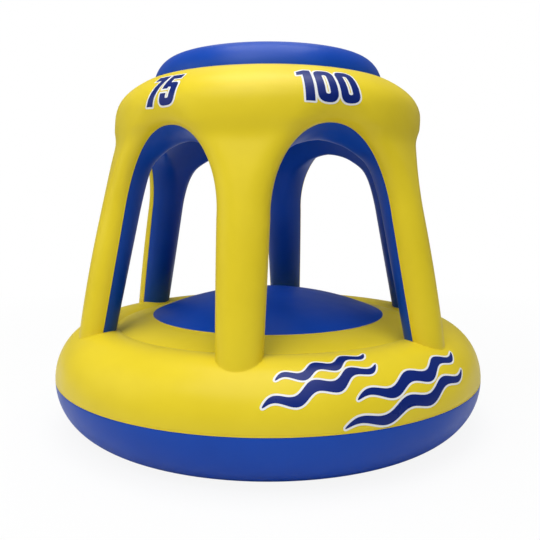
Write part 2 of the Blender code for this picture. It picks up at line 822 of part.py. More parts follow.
def valve_frames(base_top, tower_outer, floor):
    """The ring's and the tower's valves are at the back, and the cushion's is underneath."""
    out = facet_direction(crown_columns() - 1)
    slope = slope_vector(RING_VALVE_ANGLE)
    tube = out * RING_RADIUS + Vector((0.0, 0.0, TUBE_DROP))
    ring = surface_frame(base_top, tube + (out * slope.x + Vector((0.0, 0.0, slope.y))) * 2 * TUBE_RISE, tube)
    out = facet_direction(0)
    level = Vector((0.0, 0.0, arch_top_height() - TOWER_VALVE_DROP))
    tower = surface_frame(tower_outer, out * (RING_RADIUS + OUTER_SWELL_FOOT) + level, level)
    below = out * (ring_point(FLOOR_WELD_ANGLE).x - CUSHION_VALVE_INSET)
    cushion = surface_frame(floor, below - Vector((0.0, 0.0, TUBE_DROP)), below)
    return ring, tower, cushion


def build():
    clear_scene()
    parts = make_collection("pool_basketball_hoop")
    cutters = make_collection("cutters")
    yellow = make_material("yellow_vinyl", YELLOW, 0.35)
    blue = make_material("blue_vinyl", BLUE, 0.35)
    clear = make_material("clear_vinyl", CLEAR, 0.25)
    hoop = bpy.data.objects.new("hoop_origin", None)
    parts.objects.link(hoop)

    base_top = turned("base_top_sheet", base_top_profile(), yellow, parts, parent=hoop)
    thicken(turned("base_bottom_sheet", base_bottom_profile(), blue, parts, parent=hoop))
    thicken(turned("base_inner_wall", base_wall_profile(), blue, parts, parent=hoop))
    thicken(turned("cushion_flank", flank_profile(), yellow, parts, parent=hoop))
    thicken(turned("cushion_cap", cap_profile(), blue, parts, parent=hoop))
    floor = turned("cushion_floor", floor_profile(), blue, parts, parent=hoop)

    thicken(tower_panel("tower_outer_front", OuterSheet, FRONT_LEGS, yellow, parts, hoop))
    tower_outer = tower_panel("tower_outer_back", OuterSheet, BACK_LEGS, yellow, parts, hoop)
    thicken(tower_panel("tower_inner_front", InnerSheet, FRONT_LEGS, blue, parts, hoop))
    thicken(tower_panel("tower_inner_back", InnerSheet, BACK_LEGS, blue, parts, hoop))
    thicken(turned("rim_sheet", rim_profile(), blue, parts, parent=hoop))
    rim_baffle(blue, parts, cutters, hoop)
    for leg in range(LEGS):
        foot_patch(f"leg_foot_patch_{leg + 1}", leg, yellow, parts, hoop)

    ring, tower, cushion = valve_frames(base_top, tower_outer, floor)
    add_valve("ring_valve", base_top, ring, clear, parts, cutters, hoop)
    add_valve("tower_valve", tower_outer, tower, clear, parts, cutters, hoop)
    add_valve("cushion_valve", floor, cushion, clear, parts, cutters, hoop)


build()
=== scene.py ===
"""The look of the inflatable pool basketball hoop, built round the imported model.

Smooth thick sheets with weld seams, prints and vinyl materials stand for the coarse ones. Sizes are
in metres and angles in degrees; one leg points to -Y and Z is up.
"""
import json
import math

import bmesh
import bpy
import numpy
from mathutils import Euler, Matrix, Vector


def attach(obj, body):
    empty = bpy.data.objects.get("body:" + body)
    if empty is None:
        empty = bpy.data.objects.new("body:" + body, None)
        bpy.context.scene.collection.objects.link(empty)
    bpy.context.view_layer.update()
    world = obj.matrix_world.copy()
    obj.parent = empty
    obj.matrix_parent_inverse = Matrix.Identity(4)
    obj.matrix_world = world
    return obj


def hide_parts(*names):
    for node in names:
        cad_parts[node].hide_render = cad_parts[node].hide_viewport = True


# Sheets: the part's values, with the tower's fullness fitted once more to the photograph
SHEET = 0.0005
SEAM_GAP = 0.0005
RING_RADIUS = 0.451
TUBE_HALF_WIDTH = 0.119
TUBE_RISE = 0.1317
TUBE_DROP = 0.1335
REST_HALF_WIDTH = 0.015
CREASE_INSET = 0.0426
FLOOR_WELD_ANGLE = 210.0
FLANK_WIDTH = 0.0916
FLANK_RISE = 0.0232
FLANK_SWELL = 0.0025
CAP_RISE = 0.0652
FLOOR_SAG = 0.030
LEGS = 6
LEG_OUTSET = 0.0116
LEG_HEIGHT = 0.2858
SEAM_LEAN = 0.193
ARCH_RISE = 0.2087
ARCH_SPRING_ANGLE = 22.0
ARCH_FOOT_ANGLE = 23.8
ARCH_ROUNDNESS = 2.1
ARCH_LIP_WIDTH = 0.040
LIP_BLEND_SHARE = 0.6
OUTER_SWELL_FOOT = 0.046
OUTER_SWELL_LEG = 0.053
OUTER_SWELL_SHOULDER = 0.0255
INNER_SWELL_FOOT = 0.044
INNER_SWELL_TOP = 0.057
SHOULDER_RISE = 0.1313
SHOULDER_INSET = 0.066
SHOULDER_SIDE_HANDLE = 0.087
SHOULDER_TOP_HANDLE = 0.066
SHOULDER_TOP_SLOPE = 12.8
CROWN_BILLOW = 0.020
BILLOW_DROP = 0.040
BILLOW_SPAN = 0.145
UNDERSIDE_DROP = 0.095
UNDERSIDE_SIDE_HANDLE = 0.030
UNDERSIDE_MOUTH_HANDLE = 0.110
UNDERSIDE_MOUTH_SLOPE = 36.9
FAIRING = 0.035
FAIRING_SHARES = (-1.0, -0.5, 0.0, 0.5, 1.0)
RIM_INSET = 0.0631
RIM_DROP = 0.0148
RIM_HALF_HEIGHT = 0.0758
MOUTH_ANGLE = 200.0

# Weld seams and valves
SEAM_TUCK = 0.0012
SEAM_WIDTH = 0.006
FOOT_SINK = 0.0004
BEAD_RADIUS = 0.0010
BEAD_SIDES = 10
VALVES = ("ring_valve", "tower_valve", "cushion_valve")
VALVE_PARTS = ("seat", "stem", "plug", "flap")
VALVE_HOLE_RADIUS = 0.0095
VALVE_FLAT_RADIUS = 0.024
VALVE_BLEND_RADIUS = 0.060
VALVE_SEAT_CLEARANCE = 0.0002
VALVE_CUTTER_DEPTH = 0.02

# Prints: lifts over the sheet, grid, corners, numbers and waves
OUTLINE_LIFT = 0.00025
INK_LIFT = 0.00045
PRINT_CELL = 0.006
SURFACE_STEP = 0.0005
LONGEST_CORNER_SHARE = 0.49
SHORTEST_CORNER = 0.0001
NUMBER_HEIGHT = 0.089
NUMBER_STATION = 0.813
NUMBER_OUTLINE = 0.0042
NUMBER_GAP_SHARE = 0.07
WAVE_OUTLINE = 0.0042
WAVE_CRESTS = 3
WAVE_SWING_SHARE = 0.34

# The numbers' text, azimuth over their arch and share of the digits' full width
NUMBERS = (
    ("100", -62.7, 0.98),
    ("75", -120.1, 0.88),
    ("50", 60.0, 0.98),
    ("25", 120.0, 0.98),
)

# The waves' azimuth, angle round the tube, slant, length and height
WAVES = (
    (-69.0, 65.0, 17.0, 0.22, 0.024),
    (-70.0, 43.0, 17.0, 0.27, 0.026),
    (-46.0, 40.0, 9.0, 0.34, 0.026),
    (-48.0, 18.0, 9.0, 0.38, 0.024),
)

# Each digit's loops of corners, run with the ink on the left, as x, y and rounding
DIGIT_SHARES = {
    "0": (
        ((0.0, 0.0, 0.24), (0.54, 0.0, 0.24), (0.54, 1.0, 0.24), (0.0, 1.0, 0.24)),
        ((0.21, 0.20, 0.06), (0.21, 0.80, 0.06), (0.33, 0.80, 0.06), (0.33, 0.20, 0.06)),
    ),
    "1": (
        ((0.16, 0.0, 0.0), (0.39, 0.0, 0.0), (0.39, 1.0, 0.0), (0.22, 1.0, 0.04),
         (0.0, 0.88, 0.02), (0.0, 0.74, 0.0), (0.16, 0.78, 0.0)),
    ),
    "2": (
        ((0.0, 0.0, 0.0), (0.53, 0.0, 0.0), (0.53, 0.19, 0.0), (0.25, 0.19, 0.0),
         (0.54, 0.55, 0.12), (0.54, 1.0, 0.23), (0.0, 1.0, 0.23), (0.0, 0.66, 0.0),
         (0.21, 0.66, 0.0), (0.21, 0.81, 0.05), (0.33, 0.81, 0.05), (0.33, 0.62, 0.06),
         (0.0, 0.21, 0.0)),
    ),
    "5": (
        ((0.0, 0.0, 0.23), (0.54, 0.0, 0.23), (0.54, 0.66, 0.18), (0.23, 0.66, 0.0),
         (0.23, 0.81, 0.0), (0.50, 0.81, 0.0), (0.50, 1.0, 0.0), (0.04, 1.0, 0.0),
         (0.01, 0.45, 0.0), (0.21, 0.45, 0.0), (0.21, 0.50, 0.03), (0.33, 0.50, 0.05),
         (0.33, 0.18, 0.05), (0.21, 0.18, 0.05), (0.21, 0.32, 0.0), (0.0, 0.32, 0.0)),
    ),
    "7": (
        ((0.09, 0.0, 0.0), (0.32, 0.0, 0.0), (0.52, 0.80, 0.0), (0.52, 1.0, 0.0),
         (0.0, 1.0, 0.0), (0.0, 0.80, 0.0), (0.30, 0.80, 0.0)),
    ),
}

# How finely the pieces are drawn
SEGMENTS = 180
TOP_STEPS = 44
BOTTOM_INNER_STEPS = 20
BOTTOM_OUTER_STEPS = 34
EDGE_STEPS = 6
FLANK_STEPS = 12
CAP_STEPS = 28
FLOOR_STEPS = 20
RIM_STEPS = 48
LEG_ROWS = 12
SPINE_ROWS = 20
CROWN_COLUMNS = 18
CROWN_ROWS = 16
COLUMNS = 16
SEAM_SAMPLES = 90
FOOT_TRIES = 12
HOLE_SIDES = 48
CORNER_STEPS = 6
SHOULDER_STEPS = 60
WAVE_STEPS = 24
MERGE = 0.00001
CORNER_MERGE = 0.000001
CUT_REACH = 0.0000001
SMOOTH_ANGLE = 38.0

# Points that a sheet's first face is turned towards
ABOVE = Vector((0.0, 0.0, 5.0))
BELOW = Vector((0.0, 0.0, -5.0))
OUTSIDE = Vector((5.0, 0.0, 0.0))

# Materials: colours and roughness from low to high, and noise as scale and detail
VINYL_COLOUR_NOISE = (5.0, 3.0)
VINYL_ROUGHNESS_NOISE = (11.0, 4.0)
VINYL_SPECULAR = 0.19
RIPPLE_NOISE = (16.0, 2.0)
RIPPLE_STRENGTH = 0.35
RIPPLE_DEPTH = 0.0012
GRAIN_NOISE = (1400.0, 1.0)
GRAIN_STRENGTH = 0.08
GRAIN_DEPTH = 0.0002
YELLOW = ((0.78, 0.600, 0.021), (0.83, 0.645, 0.026), (0.32, 0.42))
BLUE = ((0.0035, 0.056, 0.39), (0.005, 0.066, 0.44), (0.32, 0.42))
NAVY = ((0.003, 0.016, 0.155), (0.005, 0.021, 0.185), (0.26, 0.34))
WHITE = ((0.82, 0.82, 0.80), (0.88, 0.88, 0.86), (0.30, 0.40))
PLASTIC = ((0.70, 0.74, 0.74), (0.84, 0.86, 0.85), (0.18, 0.32))
PLASTIC_COLOUR_NOISE = (60.0, 2.0)
PLASTIC_ROUGHNESS_NOISE = (90.0, 3.0)
COLOUR_SPREAD = (0.35, 0.65)
ROUGHNESS_SPREAD = (0.3, 0.7)

# Camera, fitted to the photograph
CAMERA_TURN = 7.5
CAMERA_DISTANCE = 1.7636
CAMERA_HEIGHT = 0.5985
CAMERA_TILT = 6.58
LENS = 42.633
SENSOR = 36.0
SHIFT_X = 0.0036

# Studio: the lamps' azimuth from the camera to the right, distance, height, size and power
LAMPS = (
    ("overhead_lamp", 0.0, 0.3, 6.0, 4.2, 236.0),
    ("key_lamp", -35.0, 4.2, 5.6, 3.2, 114.0),
    ("front_lamp", 0.0, 4.2, 5.6, 3.2, 87.0),
    ("right_lamp", 35.0, 4.2, 5.6, 3.2, 27.0),
    ("side_lamp", -80.0, 4.5, 2.4, 3.0, 34.0),
    ("back_lamp", 180.0, 4.2, 5.6, 3.2, 20.0),
)
LAMP_AIM_HEIGHT = 0.4
SKY_COLOUR = (0.72, 0.83, 1.0, 1.0)
SKY_STRENGTH = 0.115
REFLECTED_STUDIO_SHARE = 0.12
FLOOR_RADIUS = 14.0
FLOOR_SIDES = 96
FLOOR_COLOUR = (0.82, 0.82, 0.82, 1.0)
FLOOR_ROUGHNESS = 0.9
WHITE_FLOOR_SHARE = 0.90
WHITE_FLOOR_SPAN = (2.6 / 3, 2.6)


# Materials


def new_material(name):
    material = bpy.data.materials.new(name)
    material.use_nodes = True
    tree = material.node_tree
    return material, tree, tree.nodes["Principled BSDF"]


def add_node(tree, kind, **settings):
    node = tree.nodes.new(kind)
    for key, value in settings.items():
        setattr(node, key, value)
    return node


def noise(tree, scale, detail):
    """A noise texture in the object's own space."""
    coords = add_node(tree, "ShaderNodeTexCoord")
    texture = add_node(tree, "ShaderNodeTexNoise")
    texture.inputs["Scale"].default_value = scale
    texture.inputs["Detail"].default_value = detail
    tree.links.new(coords.outputs["Object"], texture.inputs["Vector"])
    return texture.outputs["Fac"]


def colour_between(tree, factor, low, high):
    node = add_node(tree, "ShaderNodeValToRGB")
    for element, position, colour in zip(node.color_ramp.elements, COLOUR_SPREAD, (low, high)):
        element.position = position
        element.color = (*colour, 1.0)
    tree.links.new(factor, node.inputs["Fac"])
    return node.outputs["Color"]


def value_between(tree, factor, low, high, span):
    """A value that goes from low to high while the factor goes through its span."""
    node = add_node(tree, "ShaderNodeMapRange")
    node.inputs["From Min"].default_value = span[0]
    node.inputs["From Max"].default_value = span[1]
    node.inputs["To Min"].default_value = low
    node.inputs["To Max"].default_value = high
    tree.links.new(factor, node.inputs["Value"])
    return node.outputs["Result"]


def bump(tree, height, strength, distance, under=None):
    node = add_node(tree, "ShaderNodeBump")
    node.inputs["Strength"].default_value = strength
    node.inputs["Distance"].default_value = distance
    tree.links.new(height, node.inputs["Height"])
    if under is not None:
        tree.links.new(under, node.inputs["Normal"])
    return node.outputs["Normal"]


def mottled(name, finish, colour_noise, roughness_noise):
    """A material whose colour and roughness vary a little over its surface."""
    low, high, roughness = finish
    material, tree, shader = new_material(name)
    colour = colour_between(tree, noise(tree, *colour_noise), low, high)
    tree.links.new(colour, shader.inputs["Base Color"])
    gloss = value_between(tree, noise(tree, *roughness_noise), *roughness, ROUGHNESS_SPREAD)
    tree.links.new(gloss, shader.inputs["Roughness"])
    return material, tree, shader


def vinyl(name, finish):
    """Inflated vinyl sheet: nearly even colour, soft gloss, slack ripples and a fine grain."""
    material, tree, shader = mottled(name, finish, VINYL_COLOUR_NOISE, VINYL_ROUGHNESS_NOISE)
    ripple = bump(tree, noise(tree, *RIPPLE_NOISE), RIPPLE_STRENGTH, RIPPLE_DEPTH)
    grain = bump(tree, noise(tree, *GRAIN_NOISE), GRAIN_STRENGTH, GRAIN_DEPTH, ripple)
    tree.links.new(grain, shader.inputs["Normal"])
    shader.inputs["Specular IOR Level"].default_value = VINYL_SPECULAR
    return material


def soft_plastic(name, finish):
    """The milky soft plastic of the air valves."""
    material, _, _ = mottled(name, finish, PLASTIC_COLOUR_NOISE, PLASTIC_ROUGHNESS_NOISE)
    return material


# Places and curves


def half_bay():
    return 180.0 / LEGS


def step_towards(start, end, distance):
    return start + (end - start).normalized() * distance


def slope_vector(angle):
    return Vector((math.cos(math.radians(angle)), math.sin(math.radians(angle))))


def bezier(start, first, second, end, t):
    u = 1.0 - t
    return start * u**3 + first * (3 * u * u * t) + second * (3 * u * t * t) + end * t**3


def leg_azimuth(leg):
    return -90.0 + 360.0 * leg / LEGS


def place(azimuth, radius, height):
    turn = math.radians(azimuth)
    return Vector((radius * math.cos(turn), radius * math.sin(turn), height))


def round_path(radius, height):
    return [place(360.0 * i / SEGMENTS, radius, height) for i in range(SEGMENTS)]


# Ring and cushion


def ring_point(angle):
    """A point of the ring tube's section; 0 is its outer side and 90 its crest."""
    rise = TUBE_RISE if math.sin(math.radians(angle)) > 0 else TUBE_DROP
    return Vector((RING_RADIUS + TUBE_HALF_WIDTH * math.cos(math.radians(angle)),
                   TUBE_DROP + rise * math.sin(math.radians(angle))))


def ring_top(radius):
    share = (radius - RING_RADIUS) / TUBE_HALF_WIDTH
    return TUBE_DROP + TUBE_RISE * math.sqrt(max(1.0 - share * share, 0.0))


def crease_angle():
    return 180.0 - math.degrees(math.acos(CREASE_INSET / TUBE_HALF_WIDTH))


def arc_points(first, last, steps):
    return [ring_point(first + (last - first) * i / steps) for i in range(steps + 1)]


def ends_tucked(points, first=True, last=True):
    """The profile with its ends drawn in below the surface, where a weld pulls the sheet down."""
    lengths = [0.0]
    for low, high in zip(points, points[1:]):
        lengths.append(lengths[-1] + (high - low).length)
    tucked = []
    for i, point in enumerate(points):
        before = points[max(i - 1, 0)]
        after = points[min(i + 1, len(points) - 1)]
        along = (after - before).normalized()
        inward = Vector((-along.y, along.x))
        depth = 0.0
        for wanted, away in ((first, lengths[i]), (last, lengths[-1] - lengths[i])):
            if wanted and away < SEAM_WIDTH:
                depth += SEAM_TUCK * (1.0 - away / SEAM_WIDTH) ** 2
        tucked.append(point + inward * depth)
    return tucked


def refined(points):
    """More points near both ends, so that a tucked seam is round."""
    result = [points[0]]
    for low, high in zip(points, points[1:]):
        edge = low is points[0] or high is points[-1]
        steps = EDGE_STEPS if edge else 1
        result += [low + (high - low) * (i / steps) for i in range(1, steps + 1)]
    return result


def base_top_profile():
    points = arc_points(0.0, crease_angle(), TOP_STEPS)
    points[0] = points[0] + Vector((0.0, SEAM_GAP / 2))
    return points


def base_bottom_profile():
    rest_angle = math.degrees(math.asin(REST_HALF_WIDTH / TUBE_HALF_WIDTH))
    inner = arc_points(FLOOR_WELD_ANGLE, 270.0 - rest_angle, BOTTOM_INNER_STEPS)[:-1]
    outer = arc_points(270.0 + rest_angle, 360.0, BOTTOM_OUTER_STEPS)[1:]
    outer[-1] = outer[-1] - Vector((0.0, SEAM_GAP / 2))
    flat = [Vector((RING_RADIUS + side * REST_HALF_WIDTH, 0.0)) for side in (-1, 1)]
    return inner + flat + outer


def cap_edge():
    return ring_point(crease_angle()) + Vector((-FLANK_WIDTH, FLANK_RISE))


def flank_profile():
    outer = ring_point(crease_angle())
    inner = cap_edge()
    points = []
    for i in range(FLANK_STEPS + 1):
        share = i / FLANK_STEPS
        swell = 4 * FLANK_SWELL * share * (1.0 - share)
        points.append(outer + (inner - outer) * share + Vector((0.0, swell)))
    return points


def cap_profile():
    edge = cap_edge()
    sphere = (edge.x**2 + CAP_RISE**2) / (2 * CAP_RISE)
    edge_angle = math.asin(edge.x / sphere)
    points = []
    for i in range(CAP_STEPS + 1):
        angle = edge_angle * (1.0 - i / CAP_STEPS)
        height = edge.y + CAP_RISE - sphere * (1.0 - math.cos(angle))
        points.append(Vector((sphere * math.sin(angle), height)))
    return points


def floor_profile():
    weld = ring_point(FLOOR_WELD_ANGLE)
    points = []
    for i in range(FLOOR_STEPS + 1):
        share = i / FLOOR_STEPS
        points.append(Vector((weld.x * share, weld.y - FLOOR_SAG * (1.0 - share * share))))
    return points


def turned(name, profile, towards):
    """An open surface of revolution; a profile point on the axis becomes one vertex."""
    mesh = bmesh.new()
    rings = []
    for point in profile:
        if point.x < MERGE:
            rings.append([mesh.verts.new((0.0, 0.0, point.y))])
            continue
        rings.append([mesh.verts.new(spot) for spot in round_path(point.x, point.y)])
    for low, high in zip(rings, rings[1:]):
        for i in range(SEGMENTS):
            k = (i + 1) % SEGMENTS
            if len(low) == 1:
                mesh.faces.new((low[0], high[k], high[i]))
            elif len(high) == 1:
                mesh.faces.new((low[i], low[k], high[0]))
            else:
                mesh.faces.new((low[i], low[k], high[k], high[i]))
    thing = object_from(name, mesh)
    turn_faces(thing, towards)
    return thing


# Tower


def foot_height():
    return TUBE_DROP + TUBE_RISE


def spring_height():
    return foot_height() + LEG_HEIGHT


def arch_top_height():
    return spring_height() + ARCH_RISE


def seam_radius(height):
    return RING_RADIUS + LEG_OUTSET - SEAM_LEAN * (height - foot_height())


def leg_arch_angle(height):
    share = (spring_height() - height) / LEG_HEIGHT
    return ARCH_SPRING_ANGLE + (ARCH_FOOT_ANGLE - ARCH_SPRING_ANGLE) * share


def arch_top():
    return Vector((seam_radius(arch_top_height()), arch_top_height()))


def shoulder_crease():
    return arch_top() + Vector((-SHOULDER_INSET, SHOULDER_RISE))


def rim_centre():
    return shoulder_crease() - Vector((RIM_INSET, RIM_DROP))


def rim_point(angle):
    half_width = RIM_INSET / math.sqrt(1.0 - (RIM_DROP / RIM_HALF_HEIGHT) ** 2)
    return rim_centre() + Vector((half_width * math.cos(math.radians(angle)),
                                  RIM_HALF_HEIGHT * math.sin(math.radians(angle))))


def mouth_crease():
    return rim_point(MOUTH_ANGLE)


def rim_profile():
    start = math.degrees(math.asin(RIM_DROP / RIM_HALF_HEIGHT))
    return [rim_point(start + (MOUTH_ANGLE - start) * i / RIM_STEPS) for i in range(RIM_STEPS + 1)]


class OuterSheet:
    """The yellow sheet, as stations from the foot up to the shoulder's crease."""
    faces_out = True

    @staticmethod
    def end():
        return shoulder_crease().y

    @staticmethod
    def middle(station):
        return Vector((seam_radius(station), station))

    @classmethod
    def full(cls, station):
        top = arch_top_height()
        if station <= top:
            share = (station - foot_height()) / (top - foot_height())
            swell = (OUTER_SWELL_FOOT * (1.0 - share) ** 2 + OUTER_SWELL_SHOULDER * share**2
                     + OUTER_SWELL_LEG * 2 * share * (1.0 - share))
            return Vector((seam_radius(station) + swell, station))
        start = cls.full(top)
        up = (start - cls.full(spring_height())).normalized()
        first = start + up * SHOULDER_SIDE_HANDLE
        second = shoulder_crease() + slope_vector(-SHOULDER_TOP_SLOPE) * SHOULDER_TOP_HANDLE
        return bezier(start, first, second, shoulder_crease(), (station - top) / (cls.end() - top))


class InnerSheet:
    """The blue sheet, as stations from the foot up and in to the hoop's mouth."""
    faces_out = False

    @staticmethod
    def end():
        return arch_top_height() + (arch_top() - mouth_crease()).length

    @staticmethod
    def middle(station):
        if station <= arch_top_height():
            return Vector((seam_radius(station), station))
        return step_towards(arch_top(), mouth_crease(), station - arch_top_height())

    @classmethod
    def full(cls, station):
        """The profile's mean over a short reach, which rounds its bend under the arches."""
        reach = min(FAIRING, cls.end() - station)
        points = [cls.profile(station + reach * share) for share in FAIRING_SHARES]
        return sum(points, Vector((0.0, 0.0))) / len(points)

    @classmethod
    def profile(cls, station):
        low = arch_top_height() - UNDERSIDE_DROP
        if station <= low:
            share = (station - foot_height()) / (low - foot_height())
            swell = INNER_SWELL_FOOT + (INNER_SWELL_TOP - INNER_SWELL_FOOT) * share
            return Vector((seam_radius(station) - swell, station))
        start = cls.profile(low)
        up = (start - cls.profile(spring_height())).normalized()
        first = start + up * UNDERSIDE_SIDE_HANDLE
        second = mouth_crease() + slope_vector(-UNDERSIDE_MOUTH_SLOPE) * UNDERSIDE_MOUTH_HANDLE
        return bezier(start, first, second, mouth_crease(), (station - low) / (cls.end() - low))


def crown_start():
    return arch_top_height() + ARCH_LIP_WIDTH


def arch_point(share):
    turn = share * math.pi / 2
    rise = math.sin(turn) ** (2.0 / ARCH_ROUNDNESS)
    angle = ARCH_SPRING_ANGLE * max(math.cos(turn), 0.0) ** (2.0 / ARCH_ROUNDNESS)
    return half_bay() - angle, spring_height() + ARCH_RISE * rise


def seam_line():
    """Where the sheets meet, as (angle from the leg, height), from the foot to the arch's top."""
    line = []
    for i in range(LEG_ROWS):
        height = foot_height() + LEG_HEIGHT * i / LEG_ROWS
        line.append((half_bay() - leg_arch_angle(height), height))
    rows = SPINE_ROWS + CROWN_COLUMNS
    return line + [arch_point(i / rows) for i in range(rows + 1)]


def flat_place(angle, station, sheet):
    return Vector((sheet.middle(station).x * math.radians(angle), station))


def seam_chain(sheet):
    """The seam laid flat: its segments' starts and steps, and the rounded lip's width along it."""
    spots = []
    lips = []
    for i in range(SEAM_SAMPLES):
        height = foot_height() + LEG_HEIGHT * i / SEAM_SAMPLES
        spots.append(flat_place(half_bay() - leg_arch_angle(height), height, sheet))
        lips.append(spots[-1].x)
    leg_half_width = flat_place(half_bay() - ARCH_SPRING_ANGLE, spring_height(), sheet).x
    for i in range(SEAM_SAMPLES + 1):
        share = i / SEAM_SAMPLES
        spots.append(flat_place(*arch_point(share), sheet))
        blend = min(share / LIP_BLEND_SHARE, 1.0)
        lips.append(leg_half_width + (ARCH_LIP_WIDTH - leg_half_width) * blend)
    places = numpy.array([tuple(spot) for spot in spots])
    return places[:-1], numpy.diff(places, axis=0), numpy.array(lips)


def swell_share(spot, chain):
    """How far a place of the sheet stands off the seam cone, from 0 at the seam to 1."""
    starts, steps, lips = chain
    offsets = numpy.array(tuple(spot)) - starts
    along = numpy.clip((offsets * steps).sum(axis=1) / (steps * steps).sum(axis=1), 0.0, 1.0)
    distances = numpy.linalg.norm(offsets - steps * along[:, None], axis=1)
    nearest = int(distances.argmin())
    lip = lips[nearest] + (lips[nearest + 1] - lips[nearest]) * along[nearest]
    share = min(float(distances[nearest] / lip), 1.0)
    return math.sqrt(1.0 - (1.0 - share) ** 2)


def far_end(row, seam_height):
    """A row's far end as (angle from the leg, station): on the leg's spine or below the crown."""
    if row <= LEG_ROWS:
        return 0.0, seam_height
    above = row - LEG_ROWS
    if above <= SPINE_ROWS:
        return 0.0, spring_height() + (crown_start() - spring_height()) * above / SPINE_ROWS
    return half_bay() * (above - SPINE_ROWS) / CROWN_COLUMNS, crown_start()


def full_point(sheet, station):
    """The sheet's place where it is fullest; the crown billows out over the arches."""
    point = sheet.full(station)
    start = arch_top_height() - BILLOW_DROP
    share = (station - start) / BILLOW_SPAN
    if sheet.faces_out and 0.0 < share < 1.0:
        point.x += CROWN_BILLOW * math.sin(math.pi * share) ** 2
    return point


def sheet_point(sheet, station, rounding):
    middle = sheet.middle(station)
    full = full_point(sheet, station)
    if rounding <= 0.0:
        return step_towards(middle, full, SEAM_GAP / 2)
    return middle + (full - middle) * rounding


def foot_station(sheet, rounding):
    height = foot_height()
    for _ in range(FOOT_TRIES):
        height = ring_top(sheet_point(sheet, height, rounding).x) - FOOT_SINK
    return height


def sheet_rows(sheet):
    """Rows of (angle from the leg, radius, height), each from the seam to its far end."""
    chain = seam_chain(sheet)
    rows = []
    for row, (seam_angle, seam_height) in enumerate(seam_line()):
        end_angle, end_station = far_end(row, seam_height)
        line = []
        for column in range(COLUMNS + 1):
            share = 1.0 - math.cos(math.pi / 2 * column / COLUMNS)
            angle = seam_angle + (end_angle - seam_angle) * share
            station = seam_height + (end_station - seam_height) * share
            rounding = swell_share(flat_place(angle, station, sheet), chain) if column else 0.0
            if row == 0:
                station = foot_station(sheet, rounding)
            point = sheet_point(sheet, station, rounding)
            line.append((angle, point.x, point.y))
        rows.append(line)
    return rows


def crown_rows(sheet):
    rows = []
    for row in range(CROWN_ROWS + 1):
        station = crown_start() + (sheet.end() - crown_start()) * row / CROWN_ROWS
        angles = [half_bay() * i / CROWN_COLUMNS for i in range(CROWN_COLUMNS + 1)]
        rows.append([(angle, *full_point(sheet, station)) for angle in angles])
    return rows


def add_grid(mesh, rows, leg, hand):
    grid = [[mesh.verts.new(place(leg_azimuth(leg) + hand * angle, radius, height))
             for angle, radius, height in line] for line in rows]
    for lower, upper in zip(grid, grid[1:]):
        for i in range(len(lower) - 1):
            mesh.faces.new((lower[i], lower[i + 1], upper[i + 1], upper[i]))


def tower_sheet(name, sheet):
    """The whole sheet: both halves of each leg, with the crown over them."""
    patches = (sheet_rows(sheet), crown_rows(sheet))
    mesh = bmesh.new()
    for leg in range(LEGS):
        for hand in (-1.0, 1.0):
            for rows in patches:
                add_grid(mesh, rows, leg, hand)
    bmesh.ops.remove_doubles(mesh, verts=mesh.verts, dist=MERGE)
    return object_from(name, mesh, sheet.faces_out)


# Making objects


def object_from(name, mesh, faces_out=None):
    bmesh.ops.recalc_face_normals(mesh, faces=mesh.faces)
    if faces_out is not None:
        facing = 0.0
        for face in mesh.faces:
            centre = face.calc_center_median()
            facing += face.normal.dot(Vector((centre.x, centre.y, 0.0))) * face.calc_area()
        if (facing > 0.0) != faces_out:
            bmesh.ops.reverse_faces(mesh, faces=mesh.faces)
    data = bpy.data.meshes.new(name)
    mesh.to_mesh(data)
    mesh.free()
    thing = bpy.data.objects.new(name, data)
    bpy.context.scene.collection.objects.link(thing)
    return thing


def turn_faces(thing, towards):
    """Reverse an open surface whose first face doesn't look towards a point."""
    face = thing.data.polygons[0]
    if face.normal.dot(towards - face.center) < 0.0:
        thing.data.flip_normals()


def shade_by_angle(thing):
    """Shade smooth up to an edge."""
    thing.data.shade_smooth()
    thing.data.set_sharp_from_angle(angle=math.radians(SMOOTH_ANGLE))


def baked(thing):
    """Apply the modifiers and shade the result."""
    bpy.context.view_layer.update()
    evaluated = thing.evaluated_get(bpy.context.evaluated_depsgraph_get())
    data = bpy.data.meshes.new_from_object(evaluated)
    old = thing.data
    thing.modifiers.clear()
    thing.data = data
    bpy.data.meshes.remove(old)
    data.name = thing.name
    shade_by_angle(thing)


def smooth_copy(node, body, look):
    """A piece of a solid's own shape, with its split corners joined and its normals made anew."""
    mesh = bmesh.new()
    mesh.from_mesh(node.data)
    mesh.transform(node.matrix_world)
    bmesh.ops.remove_doubles(mesh, verts=mesh.verts, dist=CORNER_MERGE)
    copy = object_from(node.name + "_part", mesh)
    if "custom_normal" in copy.data.attributes:
        copy.data.attributes.remove(copy.data.attributes["custom_normal"])
    shade_by_angle(copy)
    material, slot = look
    copy.data.materials.append(material)
    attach(copy, body)
    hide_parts(node.name)


def finish_piece(thing, look, *nodes):
    """Give a piece of the hoop its look's material, hang it on the hoop and hide the nodes that it
    stands for.
    """
    material, slot = look
    thing.data.materials.clear()
    thing.data.materials.append(material)
    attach(thing, "hoop")
    if nodes:
        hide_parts(*nodes)


def valve_places(joints):
    """Each valve's place on its sheet and the direction that it points in."""
    by_name = {joint["name"]: joint for joint in joints}
    places = {}
    for valve in VALVES:
        pull = by_name[valve + "_pull"]
        places[valve] = (Vector(pull["pos_m"]), Vector(pull["axis"]).normalized())
    return places


